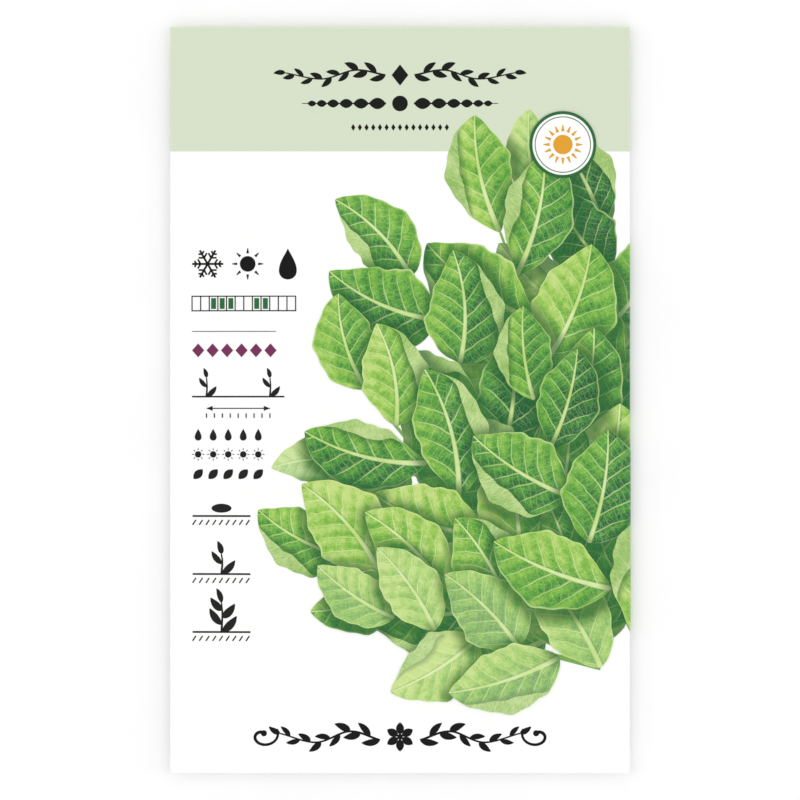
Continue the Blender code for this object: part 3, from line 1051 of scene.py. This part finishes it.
def paint_picture(tree, leaf_ink, stem_ink):
    """Sprays of leaves, each leaf over those painted before it and shading them. Gives the top level."""
    sprays = [grown_leaves(tree, stem, {"Leaves": count, "Rows": LEAF_ROWS, "Columns": LEAF_COLUMNS,
                                        "Leaf Length": length, "Leaf Width": length * width,
                                        "Fullness": fullness, "Margin Wave": MARGIN_WAVE, "Bend": bend,
                                        "Seed": seed, "Material": leaf_ink})
              for seed, (stem, count, length, width, fullness, bend, _) in enumerate(SPRAYS, 1)]
    leaves = [leaf for spray, mesh in enumerate(sprays) for leaf in painted_leaves(spray, mesh)]
    values = [{name: np.zeros(len(mesh.vertices)) for name in ("level", "shade", "lit")} for mesh in sprays]
    towards_light = np.array(LIGHT_SIDE) * SHADE_OFFSET
    for i, leaf in enumerate(leaves):
        below = [other.level for other in leaves[:i] if leaf.overlaps(other)]
        leaf.level = max(below, default=FIRST_LEAF_LEVEL - 1) + 1
        shade = np.zeros(len(leaf.points))
        for other in leaves[i + 1:]:
            if leaf.near(other, SHADE_REACH + SHADE_OFFSET):
                away = distance_to(leaf.points + towards_light, other.outline)
                shade = np.maximum(shade, np.clip(1.0 - away / SHADE_REACH, 0.0, 1.0))
        for name, value in (("level", leaf.level), ("shade", shade), ("lit", leaf.lit_side)):
            values[leaf.spray][name][leaf.chosen] = value
    stems = bmesh.new()
    for number, (mesh, own, spray) in enumerate(zip(sprays, values, SPRAYS), 1):
        own["lit"] *= point_values(mesh, "across")
        own["pale"] = np.full(len(mesh.vertices), spray[-1])
        for name in own:
            mesh.attributes.new(name, "FLOAT", "POINT").data.foreach_set("value", own[name])
        bm = bmesh.new()
        bm.from_mesh(mesh)
        trim_to_right_edge(bm)
        film(f"leaf_spray_{number}", bm, leaf_ink)
        add_ribbon(stems, smooth_path(spray[0], STEM_POINTS), STEM_WIDTH, STEM_TIP_WIDTH)
    print_flat("leaf_stems", stems, (0.0, 0.0), stem_ink)
    return max(leaf.level for leaf in leaves)


# Drawings of the other printing

def repeat(tree, bm, count, step=(0.0, 0.0), turn=0.0):
    """Copies of a flat drawing in a row or in a ring, as a drawing of their own."""
    row = bmesh.new()
    row.from_mesh(grown(new_mesh(bm, "mark"), tree, {"Count": count, "Step": (*step, 0.0), "Turn": turn}))
    return row


def garland(tree, stem, leaves, length, stem_width, **more):
    """A small leafy stem in one ink."""
    values = {"Leaves": leaves, "Leaf Length": length, "Leaf Width": length * 0.42, "Bend": 0.5,
              "Spread": 0.75, "Tip Size": 0.7, "Jitter": 0.02, "Seed": 3, "Margin Wave": 0.0, **more}
    bm = bmesh.new()
    bm.from_mesh(grown_leaves(tree, stem, values))
    add_ribbon(bm, smooth_path(stem, STEM_POINTS), stem_width, stem_width * 0.6)
    return bm


def petal_drawing(start, length, half_width):
    """A pointed petal along +X."""
    bm = bmesh.new()
    edge = [(start + length * t, half_width * math.sin(math.pi * t) ** 0.8) for t in spaced(0.0, 1.0, 8)]
    add_shape(bm, edge + [(x, -y) for x, y in edge[-2:0:-1]])
    return bm


def title_drawing(leaf_tree, marks_tree):
    """Three ornaments under each other: a garland, a chain of petals and a row of lozenges."""
    bm = bmesh.new()
    first = garland(leaf_tree, ((2.6, 0.0), (8.0, 0.9), (14.0, -0.7), (20.6, 0.4)), 12, 3.0, 0.34)
    add_both_ways(bm, first, (0.0, TITLE_Y))
    add_lozenge(bm, (0.0, TITLE_Y), 1.5, 1.9)
    chain_start = 2.5
    second = line_drawing((chain_start, 0.0), (17.6, 0.0), 0.34, 0.12)
    for length in spaced(3.1, 1.6, 5):
        add_drawing(second, petal_drawing(chain_start, length, 0.33 * length))
        chain_start += length
    add_both_ways(bm, second, (0.0, SUBTITLE_Y))
    add_disc(bm, (0.0, SUBTITLE_Y), 1.4)
    lozenge = bmesh.new()
    add_lozenge(lozenge, (-8.4, 0.0), 0.38, 0.62)
    add_drawing(bm, repeat(marks_tree, lozenge, 15, (1.2, 0.0)), (0.0, CAPTION_Y))
    return bm


def foot_drawing(leaf_tree, marks_tree):
    """A long symmetrical flourish: garlands that end in scrolls, round a small flower."""
    bm = bmesh.new()
    half = garland(leaf_tree, ((3.6, -0.6), (9.0, 1.0), (15.0, -1.0), (21.5, 0.6)), 11, 3.4, 0.42)
    turns = [Vector((24.6 + (2.9 - 0.42 * a) * math.cos(a + 2.6), 0.2 + (2.3 - 0.33 * a) * math.sin(a + 2.6)))
             for a in spaced(0.0, 5.6, 40)]
    add_ribbon(half, turns, 0.42, 0.62)
    add_disc(half, turns[-1], 0.55, 24)
    add_both_ways(bm, half, (0.0, 0.0))
    add_drawing(bm, repeat(marks_tree, petal_drawing(0.35, 2.3, 0.72), 6, turn=math.pi / 3), turn=math.pi / 6)
    add_disc(bm, (0.0, 0.0), 0.5, 24)
    return bm


def sun_drawing(marks_tree, radius, rays):
    """A disc in a ring of rays."""
    ray = line_drawing((radius * 1.35, 0.0), (radius * 2.0, 0.0), radius * 0.34, radius * 0.10)
    bm = repeat(marks_tree, ray, rays, turn=2 * math.pi / rays)
    add_disc(bm, (0.0, 0.0), radius)
    return bm


def flake_drawing(marks_tree, radius):
    """A six-armed snow crystal."""
    arm = line_drawing((0.0, 0.0), (radius, 0.0), radius * 0.13)
    for at, length in ((0.45, 0.30), (0.72, 0.20)):
        for side in (1, -1):
            tip = (radius * (at + length * 0.6), side * radius * length)
            add_line(arm, (radius * at, 0.0), tip, radius * 0.11)
    return repeat(marks_tree, arm, 6, turn=math.pi / 3)


def drop_drawing(radius):
    """A falling drop with a pointed top."""
    bm = bmesh.new()
    add_shape(bm, [(radius * math.sin(t) * math.sin(t / 2) ** 1.4, radius * 1.25 * math.cos(t))
                   for t in spaced(0.05, 2 * math.pi - 0.05, 40)])
    return bm


def pictogram_drawing(marks_tree, size, pitch):
    """Snow crystal, sun and drop in a row."""
    bm = bmesh.new()
    for k, icon in enumerate((flake_drawing(marks_tree, size), sun_drawing(marks_tree, size * 0.5, 8),
                              drop_drawing(size * 0.8))):
        add_drawing(bm, icon, (k * pitch, 0.0))
    return bm


def calendar_drawings(marks_tree, width, height):
    """Twelve month boxes, and the fill of those in which to sow."""
    step = width / 12
    line = width * 0.0035 + 0.14
    gap = line * 1.6
    boxes = repeat(marks_tree, line_drawing((0.0, -height / 2), (0.0, height / 2), line), 13, (step, 0.0))
    for y in (-height / 2, height / 2):
        add_line(boxes, (-line / 2, y), (width + line / 2, y), line)
    fill = bmesh.new()
    for month in SOWING_MONTHS:
        left, right, top = step * month + gap, step * (month + 1) - gap, height / 2 - gap
        add_shape(fill, [(left, -top), (right, -top), (right, top), (left, top)])
    return boxes, fill


def care_drawing(marks_tree, count, step):
    """Rows of small marks, for how much water, light and room a plant takes."""
    leaf = bmesh.new()
    add_drawing(leaf, petal_drawing(-1.2, 2.4, 0.72), turn=0.8)
    bm = bmesh.new()
    for line, mark in enumerate((drop_drawing(0.86), sun_drawing(marks_tree, 0.58, 8), leaf)):
        add_drawing(bm, repeat(marks_tree, mark, count, (step, 0.0)), (0.0, -LINE_PITCH * line))
    return bm


def seedling_drawing(leaf_tree, marks_tree, age):
    """One stage of growth over a soil line: a seed, a sprout or a young plant."""
    bm = line_drawing((-5.2, 0.0), (5.2, 0.0), 0.32)
    add_drawing(bm, repeat(marks_tree, line_drawing((-4.6, -0.7), (-5.2, -1.6), 0.24), 9, (1.2, 0.0)))
    if age == 0:
        seed = [(1.8 * math.cos(a), 1.4 + 0.8 * math.sin(a)) for a in spaced(0.0, 2 * math.pi, 28)[:-1]]
        add_shape(bm, seed)
        return bm
    stem = ((0.0, 0.0), (0.15, 1.2 + age), (0.0, 2.0 + 1.6 * age))
    add_drawing(bm, garland(leaf_tree, stem, 1 + 2 * age, 3.0 + 0.5 * age, 0.40, Spread=0.95))
    return bm


def growth_drawing(leaf_tree, marks_tree, step_x, step_y):
    """The three stages of growth, each this far on from the one before."""
    bm = bmesh.new()
    for age in range(3):
        add_drawing(bm, seedling_drawing(leaf_tree, marks_tree, age), (step_x * age, step_y * age))
    return bm


def spacing_drawing(leaf_tree, marks_tree):
    """Two plants on a soil line, and under them a measuring line with its ticks and an arrow at each end."""
    width = 16.6
    first, last = 2.6, width - 2.6
    bm = line_drawing((0.0, 0.0), (width, 0.0), 0.28)
    for x in (first, last):
        plant = garland(leaf_tree, ((0.0, 0.0), (0.1, 1.9), (0.0, 3.4)), 3, 2.6, 0.34, Spread=0.95)
        add_drawing(bm, plant, (x, 0.0))
    add_line(bm, (first, -2.1), (last, -2.1), 0.18)
    for x, inwards in ((first, 1), (last, -1)):
        add_shape(bm, [(x, -2.1), (x + inwards * 1.1, -1.65), (x + inwards * 1.1, -2.55)])
    tick = line_drawing((first, -3.0), (first, -3.8), 0.22)
    add_drawing(bm, repeat(marks_tree, tick, 9, ((last - first) / 8, 0.0)))
    return bm


# Printing

def print_header(ink):
    """The coloured band across the top, which goes on round the folds and over the top flap."""
    bm = bmesh.new()
    us = [LEFT_FOLD_X, *spaced(-FLAP_HALF, FLAP_HALF, cells(2 * FLAP_HALF)), RIGHT_FOLD_X]
    vs = spaced(HEADER_LOW * MM, SIDE_END, cells(SIDE_END - HEADER_LOW * MM))
    right_us = fold_places(RIGHT_FOLD_X, RIGHT_RADIUS)
    add_patch(bm, flat_rows(us, [*vs, END_FOLD_Y]))
    add_patch(bm, flat_rows([*right_us, right_us[-1] + EDGE_BLEED * MM], vs))
    add_patch(bm, flat_rows(fold_places(LEFT_FOLD_X, -LEFT_RADIUS, math.pi * 0.75), vs))
    add_patch(bm, end_flap_rows(1, TOP_FLAP, [-CORNER_HALF, *us, CORNER_HALF]))
    bmesh.ops.remove_doubles(bm, verts=bm.verts, dist=WELD)
    bmesh.ops.scale(bm, vec=(1 / MM, 1 / MM, 1 / MM), verts=bm.verts)
    film("header_band", bm, ink)


def print_badge(marks_tree, inks, level):
    """A round badge at the band's right, over the leaves: a white disc, a thin double ring and a sun."""
    disc = bmesh.new()
    add_disc(disc, (0.0, 0.0), BADGE_RADIUS - 0.08, 96)
    print_flat("badge_disc", disc, BADGE_CENTRE, inks["white"], level=level)
    rings = bmesh.new()
    add_ring(rings, BADGE_RADIUS, 0.55)
    add_ring(rings, BADGE_RADIUS - 0.95, 0.16)
    print_flat("badge_rings", rings, BADGE_CENTRE, inks["badge green"], level=level + 1)
    print_flat("badge_sun", sun_drawing(marks_tree, 1.75, 16), BADGE_CENTRE, inks["ochre"], level=level + 1)


def print_front(leaf_tree, marks_tree, inks):
    """Everything on the front but the header band, the picture and the badge."""
    title = title_drawing(leaf_tree, marks_tree)
    print_flat("title_ornament", title, (0.0, 0.0), inks["title"], level=HEADER_LEVEL)
    boxes, fill = calendar_drawings(marks_tree, *CALENDAR_SIZE)
    rule = line_drawing((0.0, 0.0), (RULE_LENGTH, 0.0), RULE_WIDTH)
    stages = growth_drawing(leaf_tree, marks_tree, 0.0, -STAGE_PITCH)
    lozenge = bmesh.new()
    add_lozenge(lozenge, (1.1, 0.0), 1.1, 1.25)
    for name, drawing, at, ink in (
            ("foot_ornament", foot_drawing(leaf_tree, marks_tree), (0.0, FOOT_Y), "black"),
            ("pictograms", pictogram_drawing(marks_tree, 2.8, 7.2), (COLUMN_X + 2.8, PICTOGRAM_Y), "black"),
            ("calendar_boxes", boxes, (COLUMN_X, CALENDAR_Y), "dark"),
            ("calendar_fill", fill, (COLUMN_X, CALENDAR_Y), "badge green"),
            ("column_rule", rule, (COLUMN_X, RULE_Y), "dark"),
            ("column_accent", repeat(marks_tree, lozenge, 6, (2.6, 0.0)), (COLUMN_X, ACCENT_Y), "purple"),
            ("spacing_diagram", spacing_drawing(leaf_tree, marks_tree), (COLUMN_X, SPACING_Y), "dark"),
            ("care_rows", care_drawing(marks_tree, 5, 2.7), (COLUMN_X + 1.1, CARE_Y), "dark"),
            ("growth_stages", stages, (COLUMN_X + 5.3, STAGES_Y), "dark")):
        print_flat(name, drawing, at, inks[ink])


def print_back(leaf_tree, marks_tree, inks):
    """The back panel: pictograms, a calendar, lines to write on and the stages of growth."""
    boxes, fill = calendar_drawings(marks_tree, *BACK_CALENDAR_SIZE)
    line = line_drawing((0.0, 0.0), (NOTE_LINE_LENGTH, 0.0), NOTE_LINE_WIDTH)
    lines = repeat(marks_tree, line, NOTE_LINES, (0.0, -NOTE_LINE_PITCH))
    for name, drawing, at, ink in (
            ("back_pictograms", pictogram_drawing(marks_tree, 3.6, 15.0), (-15.0, 35.0), "black"),
            ("back_calendar_boxes", boxes, (-30.0, 24.0), "dark"),
            ("back_calendar_fill", fill, (-30.0, 24.0), "badge green"),
            ("back_note_lines", lines, (-31.0, 14.0), "dark"),
            ("back_growth_stages", growth_drawing(leaf_tree, marks_tree, 20.0, 0.0), (-20.0, -40.0), "dark")):
        print_flat(name, drawing, at, inks[ink], on_back)


# Seeds

def make_seeds(tree, material):
    """A heap of ribbed seeds, each a flattened spindle that is widest past its middle."""
    bm = bmesh.new()
    rib = bm.verts.layers.float.new("rib")
    rings = []
    for along, girth in SEED_PROFILE:
        ring = []
        for k in range(SEED_SIDES):
            angle = 2 * math.pi * k / SEED_SIDES
            vert = bm.verts.new((SEED_LENGTH * along, SEED_WIDTH / 2 * girth * math.cos(angle),
                                 SEED_THICK / 2 * girth * math.sin(angle)))
            vert[rib] = abs(k - SEED_SIDES / 2) / (SEED_SIDES / 2)
            ring.append(vert)
        rings.append(ring)
    for lower, upper in zip(rings, rings[1:]):
        for k in range(SEED_SIDES):
            following = (k + 1) % SEED_SIDES
            bm.faces.new((lower[k], upper[k], upper[following], lower[following]))
    bm.faces.new(rings[0])
    bm.faces.new(rings[-1][::-1])
    bmesh.ops.recalc_face_normals(bm, faces=bm.faces)
    heap = grown(new_mesh(bm, "seed"), tree, {**SEED_HEAP, "Material": material})
    heap.name = "loose_seeds"
    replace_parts(add_piece("loose_seeds", heap, material), "lettuce_seeds")


# Photograph

def add_floor():
    half = FLOOR_HALF
    mesh = bpy.data.meshes.new("floor")
    corners = [(-half, -half, 0), (half, -half, 0), (half, half, 0), (-half, half, 0)]
    mesh.from_pydata(corners, [], [(0, 1, 2, 3)])
    material, nodes, shader = new_material("floor")
    clouds = nodes.step(nodes.noise(nodes.place(), 40.0), -0.3, 0.3)
    nodes.feed(shader["Base Color"], nodes.mix(clouds, srgb(247, 247, 247), srgb(250, 250, 250)))
    shader["Roughness"].default_value = 0.9
    mesh.materials.append(material)
    new_object("floor", mesh)


def add_light():
    """An even sky, a little brighter low down, and a ring of softboxes that the camera doesn't see."""
    world = bpy.data.worlds.new("studio")
    world.use_nodes = True
    sky = Nodes(world.node_tree)
    background = world.node_tree.nodes["Background"].inputs
    background["Color"].default_value = (1.0, 1.0, 1.0, 1.0)
    height = sky.split(sky.get("ShaderNodeTexCoord", output="Generated"))[2]
    low_down = sky.step(height, 0.35, 0.05)
    sky.feed(background["Strength"], low_down * (HORIZON_LIGHT - ZENITH_LIGHT) + ZENITH_LIGHT)
    bpy.context.scene.world = world
    lamp = bpy.data.lights.new("softbox", "AREA")
    lamp.size = SOFTBOX_SIZE
    lamp.energy = SOFTBOX_POWER
    for x, y in round_points((0.0, 0.0), SOFTBOX_REACH, SOFTBOXES):
        softbox = new_object("softbox", lamp)
        softbox.location = (x, y, SOFTBOX_HEIGHT)
        softbox.rotation_euler = (-softbox.location).to_track_quat("-Z", "Y").to_euler()
        softbox.visible_camera = False


def add_camera():
    """Straight above the packet, as far off as the photograph's framing asks."""
    camera = bpy.data.cameras.new("camera")
    camera.lens = LENS
    camera.sensor_width = SENSOR
    camera.clip_start = 0.01
    photographer = new_object("camera", camera)
    frame_width = PACKET_WIDTH * PHOTO_SIZE / PACKET_WIDTH_IN_PHOTO
    photographer.location = (0.0, 0.0, FRONT_AT_EDGE + frame_width * LENS / SENSOR)
    bpy.context.scene.camera = photographer
    bpy.context.scene.view_settings.view_transform = "Standard"


def main():
    groups = {"paper": paper_surface_group(), "wear": fold_wear_group(), "mottle": ink_mottle_group(),
              "leaf": leaf_drawing_group()}
    inks = {name: ink_material(name + " ink", srgb(*colour), mottle, groups)
            for name, (colour, mottle) in INKS.items()}
    leaf_tree = leaves_along_stem()
    marks_tree = repeated_marks()
    make_envelope(paper_material(groups))
    print_header(inks["header"])
    top_level = paint_picture(leaf_tree, leaf_material(groups), inks["stem"])
    print_badge(marks_tree, inks, top_level + 1)
    print_front(leaf_tree, marks_tree, inks)
    print_back(leaf_tree, marks_tree, inks)
    make_seeds(heap_of_seeds(), seed_material())
    glue = glue_material()
    for node in ("glue_side_seam", "glue_top_flap", "glue_bottom_flap"):
        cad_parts[node].data.materials.clear()
        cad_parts[node].data.materials.append(glue)
    add_floor()
    add_light()
    add_camera()


main()
